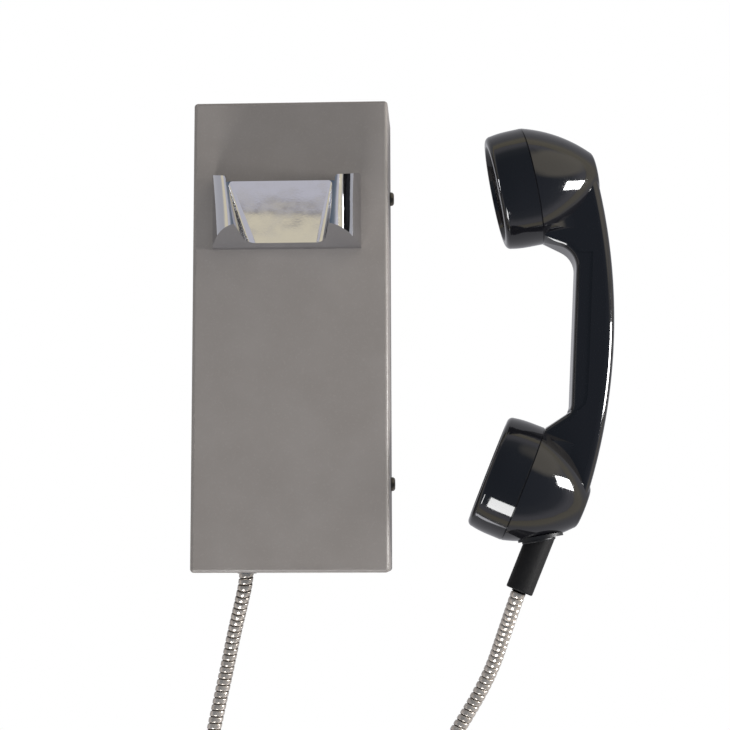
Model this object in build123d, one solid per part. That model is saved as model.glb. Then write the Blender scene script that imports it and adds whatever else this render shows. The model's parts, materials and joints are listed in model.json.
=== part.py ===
"""Wall telephone with a steel housing, a chrome cradle and an armoured handset.

Millimetres. +Z points out of the front panel, +Y to the top end of the housing,
and the origin is the centre of the back plate's outer face. The telephone lies on
its back, and the handset lies on its side to the right, off its cradle.
"""
from build123d import *
import math
import os

# Housing
HOUSING_W, HOUSING_H, HOUSING_D = 104.0, 250.5, 50.0
SHEET = 1.5
BEND_R = 2.0
SIDE_SCREW_Y = (79.7, -78.1)
SIDE_SCREW_Z = 12.0
PAN_GAP = 0.3
PAN_FLANGE = 22.0
WALL_HOLE_R = 3.25
WALL_HOLE_X, WALL_HOLE_Y = 30.0, 95.0
CABLE_ENTRY_R, CABLE_ENTRY_Y = 8.0, 60.0

# Cradle, standing on the front panel
CRADLE_X = -1.55
CRADLE_HALF_W = 39.35
CRADLE_BOTTOM_Y, CRADLE_TOP_Y = 45.1, 83.5
CRADLE_RISE = 40.0
HORN_FRONT = ((39.35, 0), (39.0, 5.5), (37.1, 10.5), (33.5, 18.4), (28.5, 24.8), (23.3, 28.0), (18.5, 28.8))
HORN_BACK = ((39.35, 0), (39.1, 13), (38.3, 21.5), (37.0, 30), (34.6, 37.5), (31.4, 42.2), (26.0, 44.4))
SADDLE_LIP, SADDLE_TOP = (47.2, 9.3), (73.0, 39.0)
POCKET_R, POCKET_Y = 33.0, 92.5
POCKET_WEB, POCKET_WEB_END = 3.5, 76.0
CRADLE_SCREWS = ((-31.0, 52.5), (31.0, 52.5), (-35.2, 77.5), (35.2, 77.5))

# Handset, lying on its side: both heads rest on the surface at z = 0
HEAD_R = 31.8
LIE_Z = HEAD_R
RECEIVER_AT, RECEIVER_TURN = (129.0, 81.3), 11.2
MOUTH_AT, MOUTH_TURN = (122.3, -79.0), -22.0
SEAM_GROOVE = 0.4
CAP_T, CAP_RIM = 19.8, 3.0
BOWL_DEPTH = {"receiver": 35.4, "mouth": 34.4}
HANDLE_HALF_W = 12.5
NECK_FLARE = ((-1, 21.4), (4, 17.3), (9, 14.4), (14, 12.9), (20, 12.4))
NECK_FADE = ((-1, 22.0), (16, 21.4), (22, 19.2), (26, 15.8), (29, 11.8), (32, 7.0))
HANDLE_WALL = 3.0
BACK_EDGE_R, INNER_EDGE_R = 5.0, 4.0
BACK_TOP, BACK_MID, BACK_END = (162.5, 89.2), (170.75, -6.6), (153.6, -91.2)
NECK_TOP, NECK_END = (152.1, 43.5), (147.6, -41.3)
NECK_TOP_R, NECK_END_R = 12.0, 8.0
SIDE_STEP = 0.5
SIDE_STEP_LINE = (
    (160.4, 43.0), (160.1, 37.0), (157.2, -17.5), (156.2, -33.2), (154.9, -37.9), (151.6, -41.0),
)

# Cord
CORD_R = 3.9
CORD_CLEAR = 0.3
EXIT_X, EXIT_Z = -25.5, 20.0
BOOT_R, BOOT_OUT, BOOT_IN = 7.3, 27.9, 12.0
BOOT_ROOT = (130.2, -109.5)
BOOT_DIR = Vector(-0.383, -0.924, 0).normalized()
CORD_START_Y = -118.7
CORD_POINTS = [
    (EXIT_X, CORD_START_Y, EXIT_Z),
    (-25.6, -128.5, 20.0),
    (-29.1, -142.0, 14.9),
    (-33.4, -157.0, 8.6),
    (-37.7, -176.0, 3.95),
    (-43.1, -201.0, 3.95),
    (-49.5, -232.0, 3.95),
    (-54.0, -268.0, 3.95),
    (-37.0, -301.0, 3.95),
    (-4.0, -316.0, 3.95),
    (32.0, -304.0, 3.95),
    (58.0, -268.0, 3.95),
    (77.3, -225.0, 3.95),
    (94.8, -198.0, 3.95),
    (105.5, -178.0, 7.8),
    (111.7, -159.0, 17.2),
    (117.5, -140.6, 30.8),
]

BOTH = (-1, 1)


def box_at(x0, x1, y0, y1, z0, z1):
    """A block from its low and high sides."""
    size = (x1 - x0, y1 - y0, z1 - z0)
    return Pos((x0 + x1) / 2, (y0 + y1) / 2, (z0 + z1) / 2) * Box(*size)


def rod(x, y, z0, z1, r):
    """A round bar along Z."""
    return Pos(x, y, (z0 + z1) / 2) * Cylinder(r, z1 - z0)


def bar_along(start, direction, length, r):
    """A round bar from a point, along a direction."""
    plane = Plane(origin=Vector(*start), z_dir=Vector(*direction))
    return plane * Pos(0, 0, length / 2) * Cylinder(r, length)


def joined(solids):
    """One node that holds several separate solids."""
    return Compound(children=[s.solid() for s in solids])


def save(name, shape):
    """One STEP file for one node."""
    export_step(shape, "parts/" + name + ".step")


# ---------------------------------------------------------------- housing


def front_housing():
    """Folded steel cover, open at the back."""
    w, h, d = HOUSING_W / 2, HOUSING_H / 2, HOUSING_D
    cover = box_at(-w, w, -h, h, 0, d)
    cover = fillet(cover.edges().filter_by(Axis.Z), BEND_R)
    cover = fillet(cover.faces().sort_by(Axis.Z)[-1].edges(), BEND_R)
    cover -= box_at(-w + SHEET, w - SHEET, -h + SHEET, h - SHEET, -1, d - SHEET)
    for side in BOTH:
        for y in SIDE_SCREW_Y:
            cover -= bar_along((side * (w - 4), y, SIDE_SCREW_Z), (side, 0, 0), 8, 2.2)
    cover -= bar_along((EXIT_X, -h - 3, EXIT_Z), (0, 1, 0), 6, 5.2)
    for x, y in CRADLE_SCREWS:
        cover -= rod(x + CRADLE_X, y, d - 4, d + 4, 2.2)
    cover -= box_at(CRADLE_X - 17, CRADLE_X + 17, 62, 74, d - 4, d + 4)
    return cover


def back_plate():
    """Steel pan with side flanges that the cover screws into."""
    w = HOUSING_W / 2 - SHEET - PAN_GAP
    h = HOUSING_H / 2 - SHEET - PAN_GAP
    pan = box_at(-w, w, -h, h, 0, SHEET)
    for side in BOTH:
        inner, outer = sorted((side * w, side * (w - SHEET)))
        pan += box_at(inner, outer, -h + 6, h - 6, 0, PAN_FLANGE)
        low, high = sorted((side * h, side * (h - SHEET)))
        pan += box_at(-w + 6, w - 6, low, high, 0, 9)
        for y in SIDE_SCREW_Y:
            pan -= bar_along((side * (w - 4), y, SIDE_SCREW_Z), (side, 0, 0), 8, 2.2)
        for x in BOTH:
            pan -= rod(x * WALL_HOLE_X, side * WALL_HOLE_Y, -1, 3, WALL_HOLE_R)
    pan -= rod(0, CABLE_ENTRY_Y, -1, 3, CABLE_ENTRY_R + 2)
    return pan


def side_places():
    """Places of the cover's screws, with their outward direction."""
    return [(side, y) for side in BOTH for y in SIDE_SCREW_Y]


def cover_screws():
    """Button-head M4 screws with a hexagon socket."""
    screws = []
    for side, y in side_places():
        plane = Plane(origin=(side * HOUSING_W / 2, y, SIDE_SCREW_Z), z_dir=(side, 0, 0))
        head = Pos(0, 0, 1.1) * Cylinder(3.8, 2.2)
        head = fillet(head.faces().sort_by(Axis.Z)[-1].edges(), 1.6)
        screw = head + Pos(0, 0, -5) * Cylinder(2.0, 10)
        socket = extrude(Pos(0, 0, 0.9) * RegularPolygon(1.25, 6, major_radius=False), 2)
        screws.append(plane * (screw - socket - Pos(0, 0, 1.55) * Cylinder(0.5, 1.3)))
    return joined(screws)


def clinch_nuts():
    """Round nuts pressed onto the inside of the pan's flanges."""
    nuts = []
    face = HOUSING_W / 2 - SHEET - PAN_GAP - SHEET
    for side, y in side_places():
        start = (side * face, y, SIDE_SCREW_Z)
        nut = bar_along(start, (-side, 0, 0), 5, 4.5)
        nuts.append(nut - bar_along(start, (-side, 0, 0), 5, 2.05))
    return joined(nuts)


# ---------------------------------------------------------------- cradle


def arch(y, half_outline):
    """The end outline of both horns at one place along Y."""
    z0 = HOUSING_D
    right = [Vector(x, y, z0 + rise) for x, rise in half_outline]
    left = [Vector(-at.X, at.Y, at.Z) for at in reversed(right)]
    sides = [Spline(*right), Line(right[-1], left[0]), Spline(*left), Line(left[-1], right[0])]
    return make_face(sides)


def cradle_body():
    """Outer form: horns that spread towards the top, met with the side outline."""
    z0, top = HOUSING_D, HOUSING_D + CRADLE_RISE
    side = Polyline(
        (CRADLE_BOTTOM_Y, z0),
        (CRADLE_BOTTOM_Y + 0.4, z0 + 3.5),
        (CRADLE_BOTTOM_Y + 9.0, top - 1.5),
        (CRADLE_BOTTOM_Y + 11.0, top + 3.0),
        (74.2, top + 3.0),
        (76.4, top - 2.0),
        (82.6, z0 + 14),
        (CRADLE_TOP_Y, z0),
        close=True,
    )
    block = extrude(Plane.YZ * make_face(side), CRADLE_HALF_W + 1, both=True)
    horns = loft([arch(40.0, HORN_FRONT), arch(90.0, HORN_BACK)], ruled=True)
    return block & horns


def saddle_slope():
    """Rise of the saddle for each millimetre along Y."""
    return (SADDLE_TOP[1] - SADDLE_LIP[1]) / (SADDLE_TOP[0] - SADDLE_LIP[0])


def trough():
    """The tapered channel between the cradle's two horns, with rounded floor corners."""
    sections = []
    for y, half, spread, corner in ((40.0, 19.0, 27.0, 6.5), (82.0, 28.9, 43.5, 0.8)):
        floor = HOUSING_D + SADDLE_LIP[1] + (y - SADDLE_LIP[0]) * saddle_slope()
        high = HOUSING_D + 75.0
        corners = [(-half, floor), (half, floor), (spread, high), (-spread, high)]
        outline = make_face(Polyline(*corners, close=True))
        outline = fillet(outline.vertices().sort_by(Axis.Y)[:2], corner)
        sections.append(Plane(origin=(0, y, 0), x_dir=(1, 0, 0), z_dir=(0, -1, 0)) * outline)
    return loft(sections, ruled=True)


def cradle():
    """Chrome die casting: two horns, a sloping saddle and a pocket behind it."""
    z0 = HOUSING_D
    body = cradle_body() - trough()
    pocket = Polyline(
        (59.0, z0 + POCKET_WEB), (59.0, z0 + 14.0), (61.2, z0 + 20.0), (73.2, z0 + 37.6),
        (90.0, z0 + 62.2), (110.0, z0 + 62.2), (110.0, z0 - 1), (POCKET_WEB_END, z0 - 1),
        (POCKET_WEB_END, z0 + POCKET_WEB), close=True,
    )
    pocket = extrude(Plane.YZ * make_face(pocket), 60, both=True)
    body -= pocket & rod(0, POCKET_Y, z0 - 1, z0 + 80, POCKET_R)
    body -= box_at(-27.8, 27.8, SADDLE_TOP[0], 90, z0 + 30, z0 + 60)
    for x, y in CRADLE_SCREWS:
        body -= rod(x, y, z0 - 1, z0 + 8, 1.7)
    return Pos(CRADLE_X, 0, 0) * body


def pan_screw(head_r, head_h, shank_r, shank):
    """Pan head at z = 0 to -head_h, with its shank going up, and a cross slot."""
    head = Pos(0, 0, -head_h / 2) * Cylinder(head_r, head_h)
    head = fillet(head.faces().sort_by(Axis.Z)[0].edges(), head_h * 0.45)
    screw = head + Pos(0, 0, shank / 2) * Cylinder(shank_r, shank)
    for turn in (0, 90):
        screw -= Pos(0, 0, -head_h) * Rot(0, 0, turn) * Box(head_r * 1.2, 0.7, head_h)
    return screw


def cradle_screws():
    """Screws up through the panel into the casting."""
    places = [(x + CRADLE_X, y) for x, y in CRADLE_SCREWS]
    return joined([Pos(x, y, HOUSING_D - SHEET) * pan_screw(3.6, 2.4, 1.65, 9) for x, y in places])


# ---------------------------------------------------------------- handset


def head_plane(at, turn):
    """Local X goes into the bowl, local Y along the seam, origin at the seam."""
    depth = Vector(math.cos(math.radians(turn)), math.sin(math.radians(turn)), 0)
    return Plane(origin=(at[0], at[1], LIE_Z), x_dir=depth, z_dir=(0, 0, 1))


RECEIVER = head_plane(RECEIVER_AT, RECEIVER_TURN)
MOUTH = head_plane(MOUTH_AT, MOUTH_TURN)


def turned(plane, outline):
    """A half outline of (depth, radius) spun about the head's own axis."""
    axis = Axis(plane.origin, plane.x_dir)
    return revolve(plane * make_face(outline), axis)


def ring(plane, d0, d1, r0, r1):
    """A plain ring or disc on the head's axis, between two depths."""
    outline = Polyline((d0, r0), (d1, r0), (d1, r1), (d0, r1), close=True)
    return turned(plane, outline)


def bowl(plane, depth, inset):
    """The domed back of a head; inset gives the same form for its hollow."""
    rim, end = HEAD_R - inset * 1.8, depth - inset
    corner = 10.4 - inset * 0.4
    outline = ThreePointArc((0, rim), (20.5 - inset * 0.4, 22.8 - inset * 0.8), (end - 1.6, corner + 1.7))
    outline += ThreePointArc((end - 1.6, corner + 1.7), (end - 0.4, corner + 0.2), (end, corner - 1.6))
    outline += Polyline((end, corner - 1.6), (end, 0), (0, 0), (0, rim))
    return turned(plane, outline)


def seam_cut(plane):
    """Fine V groove round a head where its cap meets the handle."""
    half, out = SEAM_GROOVE, HEAD_R + 20
    bottom = [(-half, HEAD_R), (0, HEAD_R - half), (half, HEAD_R)]
    return turned(plane, Polyline(*bottom, (half, out), (-half, out), close=True))


def finger_side():
    """The chain of lines and arcs that faces the user's fingers, seam to seam."""
    seam_top = RECEIVER.from_local_coords(Vector(0, -HEAD_R, 0))
    seam_end = MOUTH.from_local_coords(Vector(0, HEAD_R - 0.6, 0))
    chain = [(seam_top.X, seam_top.Y), NECK_TOP, NECK_END, (seam_end.X, seam_end.Y)]
    return FilletPolyline(*chain, radius=[NECK_TOP_R, NECK_END_R])


def handle_outline():
    """The handle in side view, from one seam to the other."""
    fingers = finger_side()
    start, end = fingers @ 0, fingers @ 1
    back = ThreePointArc(BACK_END, BACK_MID, BACK_TOP)
    mouth_side = Polyline(end, MOUTH_AT, BACK_END)
    receiver_side = Polyline(BACK_TOP, RECEIVER_AT, start)
    return make_face([fingers, mouth_side, back, receiver_side])


def mirrored_section(half_outline):
    """A face between a curve of (place, half thickness) and its mirror image."""
    upper = Spline(*half_outline)
    lower = Spline(*[(place, -half) for place, half in reversed(half_outline)])
    return make_face([upper, lower, Line(upper @ 1, lower @ 0), Line(lower @ 1, upper @ 0)])


def neck_flare(plane, side):
    """Block that thickens the handle's neck towards one seam and fades out along it."""
    along_seam = plane.y_dir * side
    by_depth = Plane(origin=plane.origin, x_dir=plane.x_dir, z_dir=plane.x_dir.cross(Vector(0, 0, 1)))
    by_seam = Plane(origin=plane.origin, x_dir=along_seam, z_dir=along_seam.cross(Vector(0, 0, 1)))
    deep = extrude(by_depth * mirrored_section(NECK_FLARE), 50, both=True)
    return deep & extrude(by_seam * mirrored_section(NECK_FADE), 30, both=True)


def handle_form():
    """Solid handle with rounded edges and necks that widen to the heads."""
    outline = Pos(0, 0, LIE_Z) * handle_outline()
    form = extrude(outline, HANDLE_HALF_W, both=True)
    back = [e for e in form.edges() if e.length > 150]
    form = fillet(back, BACK_EDGE_R)
    fingers = finger_side()
    form = fillet([e for e in form.edges() if runs_along(e, fingers)], INNER_EDGE_R)
    wide = extrude(outline, HEAD_R, both=True)
    form += wide & neck_flare(RECEIVER, -1)
    form += wide & neck_flare(MOUTH, 1)
    for plane, widening in ((RECEIVER, 7.0), (MOUTH, 13.2)):
        outer = HEAD_R + widening
        beyond = Polyline((-1, HEAD_R), (0, HEAD_R), (9.3, outer), (9.3, 46), (-1, 46), close=True)
        form -= turned(plane, beyond)
    return form


def runs_along(edge, line):
    """True for an edge that follows a line of the side view, off the middle plane."""
    for place in (0.02, 0.5, 0.98):
        at = edge @ place
        if abs(at.Z - LIE_Z) < HANDLE_HALF_W - 0.1:
            return False
        if line.distance_to(Vector(at.X, at.Y, 0)) > 0.1:
            return False
    return True


def side_steps():
    """Shallow steps that set back the inner part of the handle's two sides."""
    inside = [(140.0, -41.0), (140.0, 43.0)]
    panel = make_face(Polyline(*SIDE_STEP_LINE, *inside, close=True))
    z = LIE_Z + HANDLE_HALF_W - SIDE_STEP
    return [Pos(0, 0, z) * extrude(panel, 3), Pos(0, 0, 2 * LIE_Z - z) * extrude(panel, -3)]


def handle_hollow():
    """The space inside the handle for the wires."""
    outline = Polyline(
        (137.0, 79.0), (158.2, 83.0), (164.4, 54.5), (167.3, 22.0), (167.0, -6.5), (164.2, -33.5),
        (157.6, -61.0), (149.5, -86.3), (132.3, -82.8), (138.8, -66.5), (145.8, -50.0), (151.6, -40.0),
        (154.8, -1.0), (155.8, 35.0), (150.3, 51.0), (141.3, 59.0), close=True,
    )
    return Pos(0, 0, LIE_Z) * extrude(make_face(outline), 9.0, both=True)


def handle_shell():
    """Moulded handle with both bowls and the collars that the caps screw onto."""
    shell = handle_form()
    for step in side_steps():
        shell -= step
    shell += bowl(RECEIVER, BOWL_DEPTH["receiver"], 0)
    shell += bowl(MOUTH, BOWL_DEPTH["mouth"], 0)
    for plane, depth in ((RECEIVER, BOWL_DEPTH["receiver"]), (MOUTH, BOWL_DEPTH["mouth"])):
        shell += ring(plane, -7, 1, 0, 28.6)
        shell -= bowl(plane, depth, HANDLE_WALL)
        shell -= ring(plane, -8, 1, 0, 26.2)
        shell -= seam_cut(plane)
    shell -= handle_hollow()
    shell -= bar_along(boot_at(-16), BOOT_DIR, 22, BOOT_R)
    return shell


def cap(plane, rows):
    """Screwed cap with a rounded rim, a recessed face and sound holes."""
    front, rim = -CAP_T, HEAD_R - 1.0
    outline = Polyline((0, 28.7), (0, HEAD_R))
    outline += Spline((0, HEAD_R), (-8, HEAD_R - 0.1), (-13, HEAD_R - 0.4), (front + CAP_RIM, rim))
    bend = CAP_RIM * (1 - math.sqrt(0.5))
    outline += ThreePointArc((front + CAP_RIM, rim), (front + bend, rim - bend), (front, rim - CAP_RIM))
    outline += Polyline(
        (front, rim - CAP_RIM), (front, 25.9), (front + 2.0, 24.9), (front + 2.0, 0),
        (front + 4.6, 0), (front + 4.6, 26.4), (front + 6.2, 28.7), (0, 28.7),
    )
    solid = turned(plane, outline) - seam_cut(plane)
    spots = [(0, 0)]
    for count, r in rows:
        turns = [math.tau * k / count for k in range(count)]
        spots += [(r * math.cos(turn), r * math.sin(turn)) for turn in turns]
    for y, z in spots:
        start = plane.from_local_coords(Vector(front - 1, y, z))
        solid -= bar_along(start, plane.x_dir, 8, 1.15)
    return solid


def guard(plane):
    """Steel disc behind a cap that stops probes through the sound holes."""
    return ring(plane, -15.0, -14.0, 3.0, 25.4)


def receiver_capsule():
    """Round earpiece unit with a stepped back."""
    return ring(RECEIVER, -11.8, -3.0, 0, 22.0) + ring(RECEIVER, -3.0, 4.0, 0, 15.0)


def microphone_capsule():
    """Round microphone unit."""
    return ring(MOUTH, -11.8, -2.0, 0, 12.0) + ring(MOUTH, -2.0, 1.0, 0, 9.0)


def foam_ring(plane, inner, outer):
    """Soft ring between a guard disc and the unit behind it."""
    return ring(plane, -13.9, -11.9, inner, outer)


def microphone_holder():
    """Rubber cup that centres the microphone."""
    return ring(MOUTH, -11.4, -1.0, 12.1, 25.6) - ring(MOUTH, -9.0, 0, 16.0, 22.0)


def hook_magnet():
    """Magnet beside the earpiece that works the reed switch when the handset is hung."""
    at = RECEIVER.from_local_coords(Vector(-2.6, 19.0, 0))
    return bar_along(at, RECEIVER.x_dir, 5, 4.0)


# ---------------------------------------------------------------- cord and its fittings


def boot_at(along):
    """A point on the boot's axis, counted outwards from the head."""
    at = Vector(BOOT_ROOT[0], BOOT_ROOT[1], LIE_Z) + BOOT_DIR * along
    return (at.X, at.Y, at.Z)


def cord_boot():
    """Rubber sleeve where the cord enters the handset."""
    boot = bar_along(boot_at(-BOOT_IN), BOOT_DIR, BOOT_IN + BOOT_OUT, BOOT_R - 0.05)
    boot = fillet(boot.edges().filter_by(GeomType.CIRCLE), 0.8)
    return boot - bar_along(boot_at(-BOOT_IN - 1), BOOT_DIR, BOOT_IN + BOOT_OUT + 2, CORD_R + 0.3)


def boot_collar():
    """Flange and ribbed ring that press on the outside of the bowl."""
    lean = Vector(0.17, -0.985, 0)
    middle = Vector(131.0, -106.3, LIE_Z)
    collar = bar_along(middle, lean, 1.8, 12.0)
    for start, r in ((1.8, 8.9), (3.4, 10.1)):
        at = middle + lean * start + Vector(-1.2, 0, 0)
        rib = bar_along(at, lean, 1.5, r)
        collar += fillet(rib.edges().filter_by(GeomType.CIRCLE), 0.5)
    collar -= bar_along(boot_at(-16), BOOT_DIR, 40, BOOT_R)
    collar -= bowl(MOUTH, BOWL_DEPTH["mouth"], 0)
    return collar.solids().sort_by(lambda s: s.volume)[-1]


def corner_turns(points):
    """The radius for each corner, as large as its two runs allow."""
    radii = []
    for before, at, after in zip(points, points[1:], points[2:]):
        one, two = Vector(*at) - Vector(*before), Vector(*after) - Vector(*at)
        turn = math.radians(one.get_angle(two))
        radii.append(0.45 * min(one.length, two.length) / math.tan(turn / 2))
    return radii


def armoured_cord():
    """Steel-armoured cord from the housing's bush to the handset's boot."""
    points = CORD_POINTS + [boot_at(BOOT_OUT + CORD_CLEAR)]
    radii = corner_turns(points)
    path = FilletPolyline(*points, radius=radii)
    start = Plane(origin=points[0], z_dir=Vector(*points[1]) - Vector(*points[0]))
    tube = sweep(start * Circle(CORD_R), path=path)
    ideal = path.length * math.pi * CORD_R**2
    print("cord radii", [round(r, 1) for r in radii])
    print("cord length", round(path.length, 1), "volume share", round(tube.volume / ideal, 4))
    return tube


def cord_bush():
    """Steel bush that holds the cord's end in the housing's bottom wall."""
    wall = -HOUSING_H / 2
    bush = bar_along((EXIT_X, wall - 0.8, EXIT_Z), (0, 1, 0), 10, 5.1)
    bush += bar_along((EXIT_X, wall + SHEET, EXIT_Z), (0, 1, 0), 2, 8.0)
    bush -= bar_along((EXIT_X, CORD_START_Y, EXIT_Z), (0, -1, 0), 10, CORD_R + 0.2)
    return bush - bar_along((EXIT_X, wall - 2, EXIT_Z), (0, 1, 0), 14, 2.6)


def cord_stop():
    """Crimped steel stop on the cord's core, inside the mouthpiece end."""
    stop = bar_along(boot_at(-BOOT_IN - 4.2), BOOT_DIR, 4, 5.2)
    return stop - bar_along(boot_at(-BOOT_IN - 5), BOOT_DIR, 6, 2.0)


def lanyard_clamp():
    """Folded steel clip that anchors the cord's inner steel rope."""
    clamp = box_at(EXIT_X - 7, EXIT_X + 7, -108, -98, SHEET, SHEET + 2)
    clamp += box_at(EXIT_X - 7, EXIT_X + 7, -108, -106, SHEET, EXIT_Z + 5)
    clamp -= bar_along((EXIT_X, -112, EXIT_Z), (0, 1, 0), 10, 2.2)
    return clamp - rod(EXIT_X, -102, 0, 6, 1.6)


# ---------------------------------------------------------------- electronics

BOARD_X, BOARD_Y0, BOARD_Y1, BOARD_Z = 30.0, -78.0, 22.0, 12.0
BOARD_T = 1.6
BOARD_TOP = BOARD_Z + BOARD_T
BOARD_HOLES = [(x * (BOARD_X - 4), y) for x in BOTH for y in (BOARD_Y0 + 4, BOARD_Y1 - 4)]


def circuit_board():
    """The telephone's circuit board."""
    board = box_at(-BOARD_X, BOARD_X, BOARD_Y0, BOARD_Y1, BOARD_Z, BOARD_TOP)
    board = fillet(board.edges().filter_by(Axis.Z), 2.0)
    for x, y in BOARD_HOLES:
        board -= rod(x, y, 0, 30, 1.7)
    return board


def standoffs():
    """Posts that carry the board."""
    return joined([rod(x, y, SHEET, BOARD_Z, 2.8) - rod(x, y, 4, 13, 1.3) for x, y in BOARD_HOLES])


def board_screws():
    """Screws from the board into its posts."""
    flip = Rot(180, 0, 0)
    return joined([Pos(x, y, BOARD_TOP) * flip * pan_screw(2.7, 1.9, 1.2, 6) for x, y in BOARD_HOLES])


def line_transformer():
    """Iron-cored line transformer."""
    core = box_at(-22, 0, -40, -22, BOARD_TOP, BOARD_TOP + 15)
    core -= box_at(-18, -4, -41, -36, BOARD_TOP + 3, BOARD_TOP + 12)
    core -= box_at(-18, -4, -26, -21, BOARD_TOP + 3, BOARD_TOP + 12)
    return fillet(core.edges().filter_by(Axis.Z), 0.6)


def transformer_winding():
    """Winding that shows at the transformer's two open ends."""
    ends = [box_at(-17.5, -4.5, y, y + 4.6, BOARD_TOP + 3.4, BOARD_TOP + 11.6) for y in (-40.9, -25.7)]
    return joined([fillet(end.edges().filter_by(Axis.Y), 2.0) for end in ends])


def hook_relay():
    """Sealed relay that connects the line."""
    relay = box_at(8, 23, -40, -30, BOARD_TOP, BOARD_TOP + 10)
    return fillet(relay.faces().sort_by(Axis.Z)[-1].edges(), 0.8)


def capacitors():
    """Upright round capacitors."""
    cans = []
    for x, y, r, h in ((8, -12, 4.0, 12), (19, -12, 4.0, 12), (-22, -60, 3.0, 8), (-13, -60, 3.0, 8)):
        can = rod(x, y, BOARD_TOP, BOARD_TOP + h, r)
        cans.append(fillet(can.faces().sort_by(Axis.Z)[-1].edges(), 0.6))
    return joined(cans)


def speech_chips():
    """Moulded chips on the board."""
    chips = []
    for x, y, w, h in ((-16, -5, 10, 20), (14, -58, 8, 11)):
        chip = box_at(x - w / 2, x + w / 2, y - h / 2, y + h / 2, BOARD_TOP, BOARD_TOP + 3)
        chips.append(chamfer(chip.faces().sort_by(Axis.Z)[-1].edges(), 0.4))
    return joined(chips)


TERMINAL_X = [-12.0 + 6.0 * k for k in range(5)]


def terminal_block():
    """Screw terminals for the line and the handset."""
    block = box_at(-16, 16, 6, 16, BOARD_TOP, BOARD_TOP + 10)
    for x in TERMINAL_X:
        block -= rod(x, 11, BOARD_TOP + 4, BOARD_TOP + 12, 2.1)
        block -= box_at(x - 1.8, x + 1.8, 13, 18, BOARD_TOP + 1.5, BOARD_TOP + 5)
    return block


def terminal_screws():
    """Slotted screws in the terminals."""
    screws = []
    for x in TERMINAL_X:
        screw = rod(x, 11, BOARD_TOP + 4, BOARD_TOP + 7.5, 2.0)
        screws.append(screw - box_at(x - 2.2, x + 2.2, 10.6, 11.4, BOARD_TOP + 6.6, BOARD_TOP + 8))
    return joined(screws)


REED_TOP = HOUSING_D - SHEET


def reed_holder():
    """Plastic carrier behind the cradle's pocket, screwed to the panel."""
    holder = box_at(-24, 22, 62, 74, REED_TOP - 3, REED_TOP)
    holder -= box_at(-12, 10, 65.5, 70.5, REED_TOP - 1.8, REED_TOP + 1)
    for x in (-21, 19):
        holder -= rod(x, 68, 40, 52, 1.4)
    return holder


def reed_holder_screws():
    """Two short screws through the reed carrier."""
    return joined([Pos(x, 68, REED_TOP - 3) * pan_screw(2.4, 1.6, 1.3, 2.9) for x in (-21, 19)])


def reed_switch():
    """Glass reed switch with its two leads."""
    z = REED_TOP - 0.3
    tube = bar_along((-8, 68, z), (1, 0, 0), 14, 1.3)
    tube = fillet(tube.edges().filter_by(GeomType.CIRCLE), 0.9)
    return tube + bar_along((-11.5, 68, z), (1, 0, 0), 21, 0.35)


def wire_bundle(runs, r):
    """Round wires along straight runs with tangent arcs."""
    wires = []
    for points in runs:
        path = FilletPolyline(*points, radius=corner_turns(points))
        start = Plane(origin=points[0], z_dir=Vector(*points[1]) - Vector(*points[0]))
        wires.append(sweep(start * Circle(r), path=path))
    return joined(wires)


def shifted(points, x, z):
    """The same route moved sideways."""
    return [(p[0] + x, p[1], p[2] + z) for p in points]


def handset_wires():
    """Four conductors from the cord's end to the terminals."""
    route = [(EXIT_X, -96.0, EXIT_Z), (-27, -88, 24), (-36, -70, 30), (-38, -30, 30), (-34, 8, 29),
             (-24, 24, 24), (-14, 24, 19), (-12, 17.2, BOARD_TOP + 3)]
    return wire_bundle([shifted(route, 0, 0), shifted(route, 6.0, 0)], 0.7)


def reed_header():
    """Two-pin connector for the reed switch."""
    header = box_at(22, 29, 9, 14, BOARD_TOP, BOARD_TOP + 6)
    return chamfer(header.edges().filter_by(Axis.Z), 0.5)


def reed_wires():
    """Two conductors from the reed switch to the board."""
    route = [(9, 60, REED_TOP - 4), (10, 50, REED_TOP - 7), (15, 38, 38), (21, 26, 33), (24, 16, 27)]
    route.append((24.2, 11.5, BOARD_TOP + 6.4))
    return wire_bundle([shifted(route, 0, 0), shifted(route, 2.6, 0)], 0.6)


def line_wires():
    """Line pair from the cable entry to the terminals."""
    route = [(0, CABLE_ENTRY_Y, 3.5), (0, 58, 10), (-1, 48, 18), (-1, 34, 22), (0, 24, 19)]
    route.append((0, 17.2, BOARD_TOP + 3))
    return wire_bundle([shifted(route, 0, 0), shifted(route, 6, 0)], 0.7)


def cable_grommet():
    """Rubber grommet that lines the cable entry."""
    ring_out = rod(0, CABLE_ENTRY_Y, SHEET, SHEET + 1.8, CABLE_ENTRY_R + 4)
    sleeve = rod(0, CABLE_ENTRY_Y, 0, SHEET + 1.8, CABLE_ENTRY_R + 2)
    return ring_out + sleeve - rod(0, CABLE_ENTRY_Y, -1, 6, CABLE_ENTRY_R)


def ground_stud():
    """Earth stud with its nut."""
    stud = rod(38, 100, SHEET, 12, 2.0)
    nut = extrude(Pos(38, 100, SHEET + 1.2) * RegularPolygon(3.5, 6, major_radius=False), 3)
    return joined([stud + nut])


def ground_lead():
    """Earth lead with its ring terminal."""
    lug = rod(38, 100, SHEET, SHEET + 1.0, 4.4) - rod(38, 100, 0, 6, 2.1)
    lug += box_at(36.5, 39.5, 88, 97, SHEET, SHEET + 1.0)
    route = [(38, 90, SHEET + 1.9), (38, 82, 5), (36, 60, 9), (30, 35, 14), (24, 22, 20), (16, 21, 20)]
    route.append((12, 17.2, BOARD_TOP + 3))
    lead = wire_bundle([route], 0.9)
    return joined([lug, lead])


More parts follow.
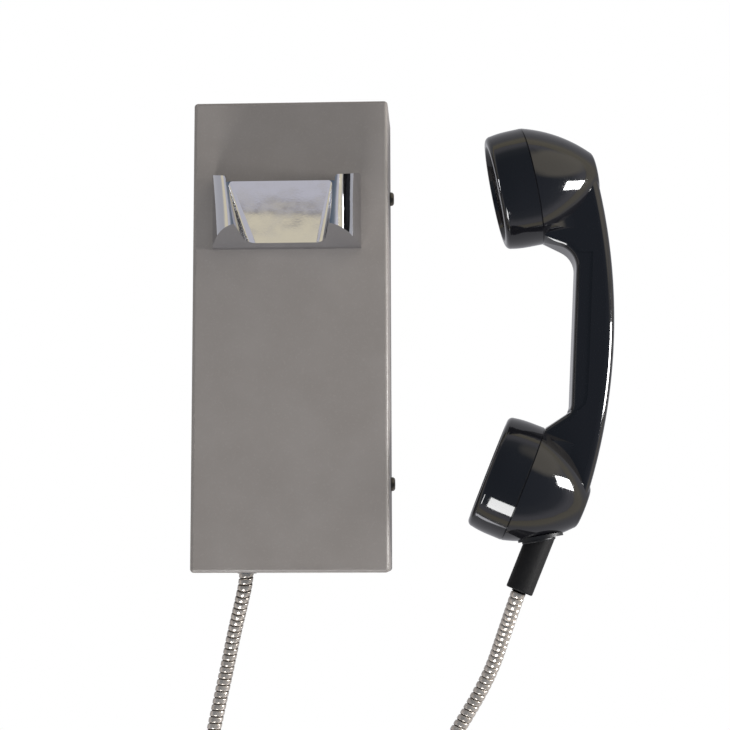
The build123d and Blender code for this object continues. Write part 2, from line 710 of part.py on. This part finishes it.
def handle_wires():
    """Two wires through the handle between the heads."""
    route = [(137, 75, LIE_Z), (149, 73, LIE_Z), (159, 57, LIE_Z), (162, 22, LIE_Z), (161, -8, LIE_Z),
             (156.5, -40, LIE_Z), (148, -65, LIE_Z), (136, -79, LIE_Z)]
    high = [(x, y, z + 3) for x, y, z in route]
    return wire_bundle([route, high], 0.8)


# ---------------------------------------------------------------- the whole telephone

NODES = {
    "front_housing": front_housing,
    "back_plate": back_plate,
    "cover_screws": cover_screws,
    "clinch_nuts": clinch_nuts,
    "cradle": cradle,
    "cradle_screws": cradle_screws,
    "cable_grommet": cable_grommet,
    "circuit_board": circuit_board,
    "board_standoffs": standoffs,
    "board_screws": board_screws,
    "line_transformer": line_transformer,
    "transformer_winding": transformer_winding,
    "hook_relay": hook_relay,
    "capacitors": capacitors,
    "speech_chips": speech_chips,
    "terminal_block": terminal_block,
    "terminal_screws": terminal_screws,
    "reed_holder": reed_holder,
    "reed_holder_screws": reed_holder_screws,
    "reed_switch": reed_switch,
    "cord_bush": cord_bush,
    "lanyard_clamp": lanyard_clamp,
    "handset_wires": handset_wires,
    "reed_header": reed_header,
    "reed_wires": reed_wires,
    "line_wires": line_wires,
    "ground_stud": ground_stud,
    "ground_lead": ground_lead,
    "armoured_cord": armoured_cord,
    "handle_shell": handle_shell,
    "receiver_cap": lambda: cap(RECEIVER, ((6, 5.0), (12, 10.0))),
    "mouthpiece_cap": lambda: cap(MOUTH, ((6, 5.0), (12, 10.0))),
    "receiver_guard": lambda: guard(RECEIVER),
    "mouthpiece_guard": lambda: guard(MOUTH),
    "receiver_foam": lambda: foam_ring(RECEIVER, 14.0, 21.0),
    "mouthpiece_foam": lambda: foam_ring(MOUTH, 7.0, 11.5),
    "receiver_capsule": receiver_capsule,
    "microphone_capsule": microphone_capsule,
    "microphone_holder": microphone_holder,
    "hook_magnet": hook_magnet,
    "handle_wires": handle_wires,
    "cord_boot": cord_boot,
    "boot_collar": boot_collar,
    "cord_stop": cord_stop,
}

os.makedirs("parts", exist_ok=True)
for node, make in NODES.items():
    save(node, make())
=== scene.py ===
"""Looks of the wall payphone: materials, armoured cord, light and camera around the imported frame."""

import json
import math

import bmesh
import bpy
import numpy as np
from mathutils import Matrix, Vector


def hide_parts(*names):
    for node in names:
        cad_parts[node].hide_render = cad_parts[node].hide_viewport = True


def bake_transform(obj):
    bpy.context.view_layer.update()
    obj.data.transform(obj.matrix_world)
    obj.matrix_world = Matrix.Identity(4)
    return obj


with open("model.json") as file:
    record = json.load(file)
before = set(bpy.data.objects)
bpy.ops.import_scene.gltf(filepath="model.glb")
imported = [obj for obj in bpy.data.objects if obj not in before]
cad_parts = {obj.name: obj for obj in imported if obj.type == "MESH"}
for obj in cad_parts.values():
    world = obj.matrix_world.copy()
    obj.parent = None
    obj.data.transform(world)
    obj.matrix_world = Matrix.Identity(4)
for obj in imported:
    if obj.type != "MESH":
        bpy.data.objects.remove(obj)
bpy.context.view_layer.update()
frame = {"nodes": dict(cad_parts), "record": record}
scene = bpy.context.scene
scene.view_settings.view_transform = "Standard"

# ---------------------------------------------------------------- camera

CAMERA_AT = Vector((0.07741, -0.11257, 0.88513))
CAMERA_LOOK = Vector((-0.04527, 0.11429, -1.0))
CAMERA_ROLL = math.radians(-0.14)
CAMERA_LENS = 79.05


def make_camera():
    """A long-lens camera over the telephone, looking almost straight down."""
    data = bpy.data.cameras.new("camera")
    data.lens = CAMERA_LENS
    data.sensor_width = 36.0
    camera = bpy.data.objects.new("camera", data)
    scene.collection.objects.link(camera)
    look = CAMERA_LOOK.normalized()
    right = look.cross(Vector((0, 1, 0))).normalized()
    up = right.cross(look)
    turn = Matrix.Rotation(CAMERA_ROLL, 3, -look)
    axes = Matrix((turn @ right, turn @ up, -look)).transposed()
    camera.matrix_world = Matrix.Translation(CAMERA_AT) @ axes.to_4x4()
    scene.camera = camera


make_camera()

# ---------------------------------------------------------------- armoured cord

CORD_R = 0.0039
CORD_PITCH = 0.00345
BOOT_ROOT = Vector((0.1302, -0.1095, 0.0318))
BOOT_DIR = Vector((-0.383, -0.924, 0)).normalized()
BOOT_OUT = 0.0282
CORD_POINTS = [
    (-0.0255, -0.1187, 0.0200),
    (-0.0256, -0.1285, 0.0200),
    (-0.0291, -0.1420, 0.0149),
    (-0.0334, -0.1570, 0.0086),
    (-0.0377, -0.1760, 0.00395),
    (-0.0431, -0.2010, 0.00395),
    (-0.0495, -0.2320, 0.00395),
    (-0.0540, -0.2680, 0.00395),
    (-0.0370, -0.3010, 0.00395),
    (-0.0040, -0.3160, 0.00395),
    (0.0320, -0.3040, 0.00395),
    (0.0580, -0.2680, 0.00395),
    (0.0773, -0.2250, 0.00395),
    (0.0948, -0.1980, 0.00395),
    (0.1055, -0.1780, 0.0078),
    (0.1117, -0.1590, 0.0172),
    (0.1175, -0.1406, 0.0308),
]
LINE_STEPS = 24
LOOK_AHEAD = 0.0008
WELD = 1e-6
HOSE_SPOKES = 28
# The strip's section over one turn: share of the pitch, share of the hose's radius
HOSE_SECTION = (
    (0.00, 0.82),
    (0.07, 0.83),
    (0.11, 0.95),
    (0.20, 0.99),
    (0.38, 1.0),
    (0.60, 1.0),
    (0.78, 0.985),
    (0.88, 0.945),
    (0.92, 0.83),
)


def cord_line():
    """Points along the cord's own smooth line."""
    curve = bpy.data.curves.new("cord_line", "CURVE")
    curve.dimensions = "3D"
    curve.resolution_u = LINE_STEPS
    spline = curve.splines.new("NURBS")
    route = CORD_POINTS + [tuple(BOOT_ROOT + BOOT_DIR * BOOT_OUT)]
    spline.points.add(len(route) - 1)
    for point, place in zip(spline.points, route):
        point.co = (*place, 1.0)
    spline.order_u = 3
    spline.use_endpoint_u = True
    holder = bpy.data.objects.new("cord_line", curve)
    scene.collection.objects.link(holder)
    mesh = bpy.data.meshes.new_from_object(holder)
    line = np.array([tuple(v.co) for v in mesh.vertices])
    bpy.data.objects.remove(holder)
    bpy.data.meshes.remove(mesh)
    bpy.data.curves.remove(curve)
    return line


def line_reach(line):
    """Distance along a line at each of its points."""
    steps = np.linalg.norm(np.diff(line, axis=0), axis=1)
    return np.concatenate([[0], np.cumsum(steps)])


def along(line, distances):
    """Places and directions at given distances along a line."""
    reach = line_reach(line)

    def at(where):
        return np.stack([np.interp(where, reach, line[:, axis]) for axis in range(3)], 1)

    ways = at(distances + LOOK_AHEAD) - at(distances - LOOK_AHEAD)
    return at(distances), ways / np.linalg.norm(ways, axis=1)[:, None]


def hose_points(line, rows):
    """Mesh points of the hose: each ring climbs one pitch in its turn."""
    total = line_reach(line)[-1]
    angles = np.arange(HOSE_SPOKES) * math.tau / HOSE_SPOKES
    starts = np.array([start for start, _ in rows])
    radii = np.array([share for _, share in rows]) * CORD_R
    climb = starts[:, None] + CORD_PITCH * angles[None, :] / math.tau
    places, ways = along(line, np.clip(climb, 0, total).ravel())
    side = np.cross(ways, (0, 0, 1))
    side /= np.linalg.norm(side, axis=1)[:, None]
    lift = np.cross(side, ways)
    turns = np.tile(angles, len(rows))[:, None]
    out = np.repeat(radii, HOSE_SPOKES)[:, None]
    return places + out * (np.cos(turns) * side - np.sin(turns) * lift)


def hose_faces(row_count):
    """Faces between the rings, with each face's place in the section."""
    turn = len(HOSE_SECTION)
    faces, marks = [], []
    for row in range(row_count - 1):
        for spoke in range(HOSE_SPOKES):
            last = spoke == HOSE_SPOKES - 1
            low = row + turn if last else row
            if low + 1 >= row_count:
                continue
            after = 0 if last else spoke + 1
            here, there = row * HOSE_SPOKES + spoke, low * HOSE_SPOKES + after
            faces.append((here, there, there + HOSE_SPOKES, here + HOSE_SPOKES))
            marks.append(row % turn)
    return faces, marks


def clean_mesh(mesh):
    """Welds the hose's clipped ends and drops what is left over."""
    clean = bmesh.new()
    clean.from_mesh(mesh)
    bmesh.ops.remove_doubles(clean, verts=clean.verts, dist=WELD)
    bmesh.ops.dissolve_degenerate(clean, edges=clean.edges, dist=WELD)
    loose = [v for v in clean.verts if not v.link_faces]
    bmesh.ops.delete(clean, geom=loose, context="VERTS")
    bmesh.ops.recalc_face_normals(clean, faces=clean.faces)
    clean.to_mesh(mesh)
    clean.free()


def helical_hose(name, line):
    """A hose wound from one strip, with its groove on a darker material of its own as painted shade."""
    turns = range(-1, int(line_reach(line)[-1] / CORD_PITCH) + 1)
    rows = [(turn * CORD_PITCH + share * CORD_PITCH, r) for turn in turns for share, r in HOSE_SECTION]
    faces, marks = hose_faces(len(rows))
    mesh = bpy.data.meshes.new(name)
    mesh.from_pydata(hose_points(line, rows).tolist(), [], faces)
    # The groove rows get the darker material: painted shade between the rings
    groove_shade_rows = (0, 1, len(HOSE_SECTION) - 1)
    for polygon, mark in zip(mesh.polygons, marks):
        polygon.material_index = 1 if mark in groove_shade_rows else 0
    clean_mesh(mesh)
    mesh.shade_smooth()
    piece = bpy.data.objects.new(name, mesh)
    scene.collection.objects.link(piece)
    return piece


def make_cord():
    """The interlocked steel hose, from the housing's bush to the handset's boot."""
    line = cord_line()
    hose = helical_hose("steel_hose", line)
    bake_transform(hose)
    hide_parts("armoured_cord")
    return hose


cord = make_cord()

# ---------------------------------------------------------------- material helpers

# Sockets of a colour Mix node, by place because their names repeat
MIX_FACTOR, MIX_A, MIX_B, MIX_RESULT = 0, 6, 7, 2


class Look:
    """A node material with short calls for its nodes."""

    def __init__(self, name, colour, roughness, metallic=0.0):
        self.material = bpy.data.materials.new(name)
        self.material.use_nodes = True
        self.tree = self.material.node_tree
        self.shader = self.tree.nodes["Principled BSDF"]
        self.put("Base Color", (*colour, 1.0))
        self.put("Roughness", roughness)
        self.put("Metallic", metallic)
        self.place = self.node("ShaderNodeTexCoord").outputs["Object"]
        self.bumps = None

    def put(self, socket, value):
        self.shader.inputs[socket].default_value = value

    def node(self, kind, **values):
        made = self.tree.nodes.new(kind)
        for key, value in values.items():
            socket = made.inputs.get(key.replace("_", " "))
            if socket is not None:
                socket.default_value = value
            else:
                setattr(made, key, value)
        return made

    def link(self, out, into):
        self.tree.links.new(out, into)

    def stretched(self, scale):
        """Object coordinates, scaled by axis."""
        mapping = self.node("ShaderNodeMapping")
        mapping.inputs["Scale"].default_value = scale
        self.link(self.place, mapping.inputs["Vector"])
        return mapping.outputs["Vector"]

    def noise(self, size, detail=2.0, roughness=0.5, place=None, distortion=0.0):
        """Noise with features of about this size in metres, as a 0 to 1 factor."""
        made = self.node("ShaderNodeTexNoise", Scale=1 / size, Detail=detail, Roughness=roughness)
        made.inputs["Distortion"].default_value = distortion
        self.link(place or self.place, made.inputs["Vector"])
        return made.outputs["Fac"]

    def ramp(self, factor, low, high, start=0.35, end=0.65):
        """Turns a factor into a number between two limits."""
        made = self.node("ShaderNodeMapRange")
        values = {"From Min": start, "From Max": end, "To Min": low, "To Max": high}
        for key, value in values.items():
            made.inputs[key].default_value = value
        self.link(factor, made.inputs["Value"])
        return made.outputs["Result"]

    def mix(self, factor, one, two):
        """Mixes two colours by a factor."""
        made = self.node("ShaderNodeMix", data_type="RGBA")
        self.link(factor, made.inputs[MIX_FACTOR])
        for socket, colour in ((made.inputs[MIX_A], one), (made.inputs[MIX_B], two)):
            if isinstance(colour, tuple):
                socket.default_value = (*colour, 1.0)
            else:
                self.link(colour, socket)
        return made.outputs[MIX_RESULT]

    def bump(self, height, strength, distance):
        """Adds one more layer of bump."""
        made = self.node("ShaderNodeBump", Strength=strength, Distance=distance)
        self.link(height, made.inputs["Height"])
        if self.bumps is not None:
            self.link(self.bumps, made.inputs["Normal"])
        self.bumps = made.outputs["Normal"]
        self.link(self.bumps, self.shader.inputs["Normal"])

    def colour(self, out):
        self.link(out, self.shader.inputs["Base Color"])

    def rough(self, out):
        self.link(out, self.shader.inputs["Roughness"])


# ---------------------------------------------------------------- materials


def grey_paint():
    """Satin powder coat with a fine texture and faint mottling."""
    look = Look("grey_paint", (0.183, 0.165, 0.152), 0.42)
    mottle = look.noise(0.030, 3.0, 0.6)
    speck = look.noise(0.0011, 2.0, 0.6)
    base = look.mix(look.ramp(mottle, 0, 1), (0.176, 0.158, 0.145), (0.190, 0.172, 0.159))
    look.colour(look.mix(look.ramp(speck, 0, 0.35, 0.55, 0.75), base, (0.228, 0.210, 0.196)))
    look.rough(look.ramp(look.noise(0.004, 2.0), 0.38, 0.48))
    look.bump(look.noise(0.0016, 3.0, 0.55), 0.35, 0.00006)
    look.bump(look.noise(0.012, 2.0, 0.5), 0.15, 0.00025)
    return look.material


def chrome():
    """Polished chrome on a die casting, with slow waviness."""
    look = Look("chrome", (0.60, 0.605, 0.635), 0.045, 1.0)
    look.rough(look.ramp(look.noise(0.006, 3.0), 0.03, 0.07))
    look.bump(look.noise(0.016, 1.0, 0.4), 0.10, 0.0006)
    look.bump(look.noise(0.0012, 2.0), 0.05, 0.00005)
    return look.material


def black_gloss():
    """Polished black moulding with faint handling marks."""
    look = Look("black_gloss", (0.006, 0.006, 0.0075), 0.07)
    look.put("Specular IOR Level", 0.55)
    marks = look.noise(0.0009, 3.0, 0.6, look.stretched((1.0, 0.12, 1.0)))
    look.rough(look.ramp(marks, 0.05, 0.13, 0.45, 0.8))
    look.bump(look.noise(0.010, 1.0, 0.4), 0.08, 0.00025)
    return look.material


def satin_black():
    """Black moulding with a softer shine, for the collar at the handset's end."""
    look = Look("satin_black", (0.006, 0.006, 0.007), 0.45)
    look.put("Specular IOR Level", 0.3)
    look.rough(look.ramp(look.noise(0.0012, 3.0), 0.40, 0.52))
    look.bump(look.noise(0.0006, 2.0), 0.15, 0.00003)
    return look.material


def matte_rubber():
    """Black moulded rubber."""
    look = Look("matte_rubber", (0.006, 0.0055, 0.0055), 0.5)
    look.put("Specular IOR Level", 0.2)
    look.colour(look.mix(look.noise(0.006, 3.0), (0.004, 0.0038, 0.004), (0.008, 0.0075, 0.0075)))
    look.rough(look.ramp(look.noise(0.0015, 2.0), 0.45, 0.62))
    look.bump(look.noise(0.0005, 2.0), 0.25, 0.00004)
    return look.material


def hose_steel():
    """Bright stainless strip on the crowns of the hose."""
    look = Look("hose_steel", (0.44, 0.40, 0.36), 0.28, 0.65)
    look.colour(look.mix(look.noise(0.004, 3.0), (0.34, 0.30, 0.26), (0.58, 0.53, 0.48)))
    look.rough(look.ramp(look.noise(0.0008, 3.0, 0.6), 0.14, 0.30))
    look.bump(look.noise(0.0006, 2.0), 0.12, 0.00003)
    return look.material


def hose_groove_shade():
    """Darker steel where the strips of the hose interlock: painted shade in the grooves between the rings.
    """
    look = Look("hose_groove_shade", (0.10, 0.085, 0.07), 0.5, 0.8)
    look.colour(look.mix(look.noise(0.003, 3.0), (0.05, 0.042, 0.035), (0.16, 0.14, 0.12)))
    return look.material


def metal(name, light, dark, low, high, grain=(1.0, 1.0, 1.0), size=0.0015):
    """Plain metal with colour and roughness variation along a grain."""
    look = Look(name, light, low, 1.0)
    place = look.stretched(grain)
    look.colour(look.mix(look.noise(0.008, 3.0), dark, light))
    look.rough(look.ramp(look.noise(size, 3.0, 0.6, place), low, high))
    look.bump(look.noise(size * 0.5, 2.0, 0.5, place), 0.15, 0.00003)
    return look.material


def plastic(name, light, dark, low, high):
    """Moulded plastic with a fine grain."""
    look = Look(name, light, low)
    look.colour(look.mix(look.noise(0.005, 3.0), dark, light))
    look.rough(look.ramp(look.noise(0.001, 2.0), low, high))
    look.bump(look.noise(0.0006, 2.0), 0.15, 0.00003)
    return look.material


def circuit_green():
    """Solder resist with copper tracks that show through it."""
    look = Look("circuit_green", (0.02, 0.16, 0.06), 0.3)
    tracks = look.node("ShaderNodeTexBrick", Scale=140.0)
    look.link(look.place, tracks.inputs["Vector"])
    tone = look.mix(look.ramp(tracks.outputs["Fac"], 0, 1, 0, 1), (0.016, 0.14, 0.05), (0.05, 0.26, 0.09))
    look.colour(tone)
    look.rough(look.ramp(look.noise(0.002, 2.0), 0.22, 0.38))
    return look.material


def clear_glass():
    """Thin clear glass with a faint green tint."""
    look = Look("clear_glass", (0.82, 0.93, 0.86), 0.03)
    look.put("Transmission Weight", 0.9)
    look.bump(look.noise(0.004, 1.0), 0.05, 0.0001)
    return look.material


LOOKS = {
    "grey_paint": grey_paint(),
    "zinc_steel": metal("zinc_steel", (0.66, 0.66, 0.64), (0.52, 0.52, 0.50), 0.25, 0.42, (1.0, 0.2, 1.0)),
    "dark_steel": metal("dark_steel", (0.16, 0.145, 0.12), (0.10, 0.09, 0.08), 0.28, 0.45),
    "chrome": chrome(),
    "rubber": matte_rubber(),
    "board_green": circuit_green(),
    "nickel": metal("nickel", (0.70, 0.67, 0.60), (0.56, 0.54, 0.48), 0.2, 0.34),
    "core_iron": metal("core_iron", (0.11, 0.11, 0.12), (0.06, 0.06, 0.07), 0.4, 0.6, (1.0, 1.0, 6.0)),
    "copper": metal("copper", (0.70, 0.30, 0.12), (0.50, 0.20, 0.08), 0.25, 0.4, (0.3, 1.0, 4.0)),
    "matte_black": plastic("matte_black", (0.022, 0.022, 0.024), (0.014, 0.014, 0.016), 0.4, 0.55),
    "can_aluminium": metal("can_aluminium", (0.72, 0.73, 0.75), (0.60, 0.61, 0.63), 0.2, 0.35),
    "terminal_green": plastic("terminal_green", (0.03, 0.27, 0.10), (0.02, 0.20, 0.07), 0.35, 0.5),
    "glass": clear_glass(),
    "stainless": metal("stainless", (0.64, 0.62, 0.59), (0.52, 0.50, 0.48), 0.2, 0.34),
    "wire_red": plastic("wire_red", (0.50, 0.02, 0.02), (0.36, 0.015, 0.015), 0.35, 0.5),
    "wire_green": plastic("wire_green", (0.10, 0.38, 0.05), (0.06, 0.28, 0.03), 0.35, 0.5),
    "white_plastic": plastic("white_plastic", (0.76, 0.75, 0.71), (0.66, 0.65, 0.61), 0.35, 0.5),
    "black_gloss": black_gloss(),
    "foam": plastic("foam", (0.05, 0.05, 0.055), (0.02, 0.02, 0.022), 0.85, 0.98),
    "magnet": metal("magnet", (0.42, 0.42, 0.44), (0.32, 0.32, 0.34), 0.2, 0.35),
}


def dress_nodes():
    """Every CAD node gets the material of its slot."""
    for part in frame["record"]["subparts"]:
        node = frame["nodes"][part["node"]]
        for place in node.material_slots:
            place.material = LOOKS[part["material_slot"]]


dress_nodes()
frame["nodes"]["boot_collar"].material_slots[0].material = satin_black()
cord.data.materials.append(hose_steel())
cord.data.materials.append(hose_groove_shade())

# ---------------------------------------------------------------- floor and light

WHITE = (1, 1, 1, 1)
CREAM = (0.90, 0.82, 0.62, 1)
TABLE_HALF = 3.0
# Seen only in reflections: the table darker near the telephone as painted shade, and a bright patch as a
# painted pool of light
TABLE_NEAR_SHADE = (0.52, 0.52, 0.55, 1)
NEAR_END, FAR_START = 0.30, 0.60
LIT_PATCH_AT = (0.008, -0.255, 0.0)
LIT_PATCH_INNER, LIT_PATCH_OUTER, LIT_PATCH_STRENGTH = 0.035, 0.050, 9.0
TABLE_GLOW = 0.8


def glow(tree, colour, strength):
    """An emission node of one colour."""
    made = tree.nodes.new("ShaderNodeEmission")
    made.inputs["Color"].default_value = colour
    made.inputs["Strength"].default_value = strength
    return made


def either(tree, factor, one, two):
    """A mix of two shaders by a factor."""
    made = tree.nodes.new("ShaderNodeMixShader")
    tree.links.new(factor, made.inputs[0])
    tree.links.new(one, made.inputs[1])
    tree.links.new(two, made.inputs[2])
    return made.outputs[0]


def measured(tree, operation, place, other=None):
    """A number from a place: its length, or its distance or dot product with another."""
    made = tree.nodes.new("ShaderNodeVectorMath")
    made.operation = operation
    tree.links.new(place, made.inputs[0])
    if other is not None:
        made.inputs[1].default_value = other
    return made.outputs["Value"]


def remapped(tree, value, **limits):
    """A map-range node on a value; From_Min and the like give its limits."""
    made = tree.nodes.new("ShaderNodeMapRange")
    for key, limit in limits.items():
        made.inputs[key.replace("_", " ")].default_value = limit
    tree.links.new(value, made.inputs["Value"])
    return made


def colour_ramp(tree, factor, stops):
    """Colours at positions along a factor."""
    made = tree.nodes.new("ShaderNodeValToRGB")
    ramp = made.color_ramp
    while len(ramp.elements) < len(stops):
        ramp.elements.new(1.0)
    for element, (position, colour) in zip(ramp.elements, stops):
        element.position = position
        element.color = colour
    tree.links.new(factor, made.inputs["Fac"])
    return made.outputs["Color"]


def mirrored_table(tree):
    """What reflections show of the table: dim near by as painted shade, cream far off, and one bright patch
    as a painted pool of light.
    """
    place = tree.nodes.new("ShaderNodeTexCoord").outputs["Object"]
    reach = measured(tree, "LENGTH", place)
    aside = measured(tree, "DISTANCE", place, LIT_PATCH_AT)
    lit_patch = remapped(
        tree, aside, From_Min=LIT_PATCH_INNER, From_Max=LIT_PATCH_OUTER, To_Min=LIT_PATCH_STRENGTH, To_Max=1.0,
    )
    made = glow(tree, WHITE, 1.0)
    tone = colour_ramp(tree, reach, ((NEAR_END, TABLE_NEAR_SHADE), (FAR_START, CREAM)))
    tree.links.new(tone, made.inputs["Color"])
    tree.links.new(lit_patch.outputs["Result"], made.inputs["Strength"])
    return made.outputs[0]


def table_look():
    """White to the camera, a plain soft glow on matt surfaces, and toned in reflections with painted shade
    near by and a painted bright patch.
    """
    material = bpy.data.materials.new("table_white")
    material.use_nodes = True
    tree = material.node_tree
    tree.nodes.remove(tree.nodes["Principled BSDF"])
    ray = tree.nodes.new("ShaderNodeLightPath").outputs
    lit = glow(tree, WHITE, TABLE_GLOW).outputs[0]
    soft = either(tree, ray["Is Diffuse Ray"], mirrored_table(tree), lit)
    seen = either(tree, ray["Is Camera Ray"], soft, glow(tree, WHITE, 1.0).outputs[0])
    tree.links.new(seen, tree.nodes["Material Output"].inputs["Surface"])
    return material


def make_floor():
    """A plain white table top."""
    mesh = bpy.data.meshes.new("table_top")
    half = TABLE_HALF
    corners = [(-half, -half, 0), (half, -half, 0), (half, half, 0), (-half, half, 0)]
    mesh.from_pydata(corners, [], [(0, 1, 2, 3)])
    floor = bpy.data.objects.new("table_top", mesh)
    scene.collection.objects.link(floor)
    mesh.materials.append(table_look())


def soft_box(name, place, target, size, power, mirrored=True):
    """A rectangular soft light that faces a point; it may be left out of reflections."""
    data = bpy.data.lights.new(name, "AREA")
    data.shape = "RECTANGLE"
    data.size, data.size_y = size
    data.energy = power
    light = bpy.data.objects.new(name, data)
    scene.collection.objects.link(light)
    light.location = place
    light.rotation_euler = (Vector(target) - Vector(place)).to_track_quat("-Z", "Y").to_euler()
    light.visible_glossy = mirrored


# Half the height of a direction plus a half, with the tone that reflections show there
SKY = (
    (0.520, CREAM),
    (0.532, CREAM),
    (0.535, (0.32, 0.30, 0.29, 1)),
    (0.538, (0.71, 0.70, 0.76, 1)),
    (0.60, (0.66, 0.66, 0.72, 1)),
    (0.68, (0.22, 0.25, 0.29, 1)),
    (0.80, (0.13, 0.165, 0.21, 1)),
    (1.00, (0.10, 0.135, 0.18, 1)),
)


WARM_WAY = Vector((0.70, 0.57, 0.43)).normalized()
WARM_TONE = (1.25, 1.15, 0.95, 1)
WARM_EDGE, WARM_CORE = 0.86, 0.95


def mirrored_sky(tree):
    """What reflections show of the room: lavender, blue overhead and a warm patch far off."""
    place = tree.nodes.new("ShaderNodeTexCoord").outputs["Generated"]
    split = tree.nodes.new("ShaderNodeSeparateXYZ")
    tree.links.new(place, split.inputs[0])
    height = remapped(tree, split.outputs["Z"], From_Min=-1.0)
    facing = measured(tree, "DOT_PRODUCT", place, WARM_WAY)
    warmth = remapped(tree, facing, From_Min=WARM_EDGE, From_Max=WARM_CORE)
    warmth.interpolation_type = "SMOOTHSTEP"
    blend = tree.nodes.new("ShaderNodeMix")
    blend.data_type = "RGBA"
    blend.inputs[MIX_B].default_value = WARM_TONE
    tree.links.new(warmth.outputs["Result"], blend.inputs[MIX_FACTOR])
    tree.links.new(colour_ramp(tree, height.outputs["Result"], SKY), blend.inputs[MIX_A])
    return blend.outputs[MIX_RESULT]


def make_world():
    """White to the camera; matt and shiny surfaces get the toned room."""
    world = bpy.data.worlds.new("studio")
    scene.world = world
    world.use_nodes = True
    tree = world.node_tree
    room = tree.nodes["Background"]
    tree.links.new(mirrored_sky(tree), room.inputs["Color"])
    room.inputs["Strength"].default_value = 1.0
    plain = tree.nodes.new("ShaderNodeBackground")
    plain.inputs["Color"].default_value = WHITE
    camera_ray = tree.nodes.new("ShaderNodeLightPath").outputs["Is Camera Ray"]
    seen = either(tree, camera_ray, room.outputs[0], plain.outputs[0])
    tree.links.new(seen, tree.nodes["World Output"].inputs["Surface"])


make_floor()
make_world()
soft_box("right_box", place=(1.05, 0.0, 0.27), target=(0.15, 0, 0.05), size=(0.22, 0.34), power=15)
soft_box("near_box", place=(-0.25, -0.95, 0.55), target=(0.105, -0.09, 0.05), size=(0.40, 0.42), power=9)
soft_box("top_fill", place=(0, 0.60, 1.4), target=(0, 0.08, 0), size=(1.2, 1.0), power=10.5, mirrored=False)
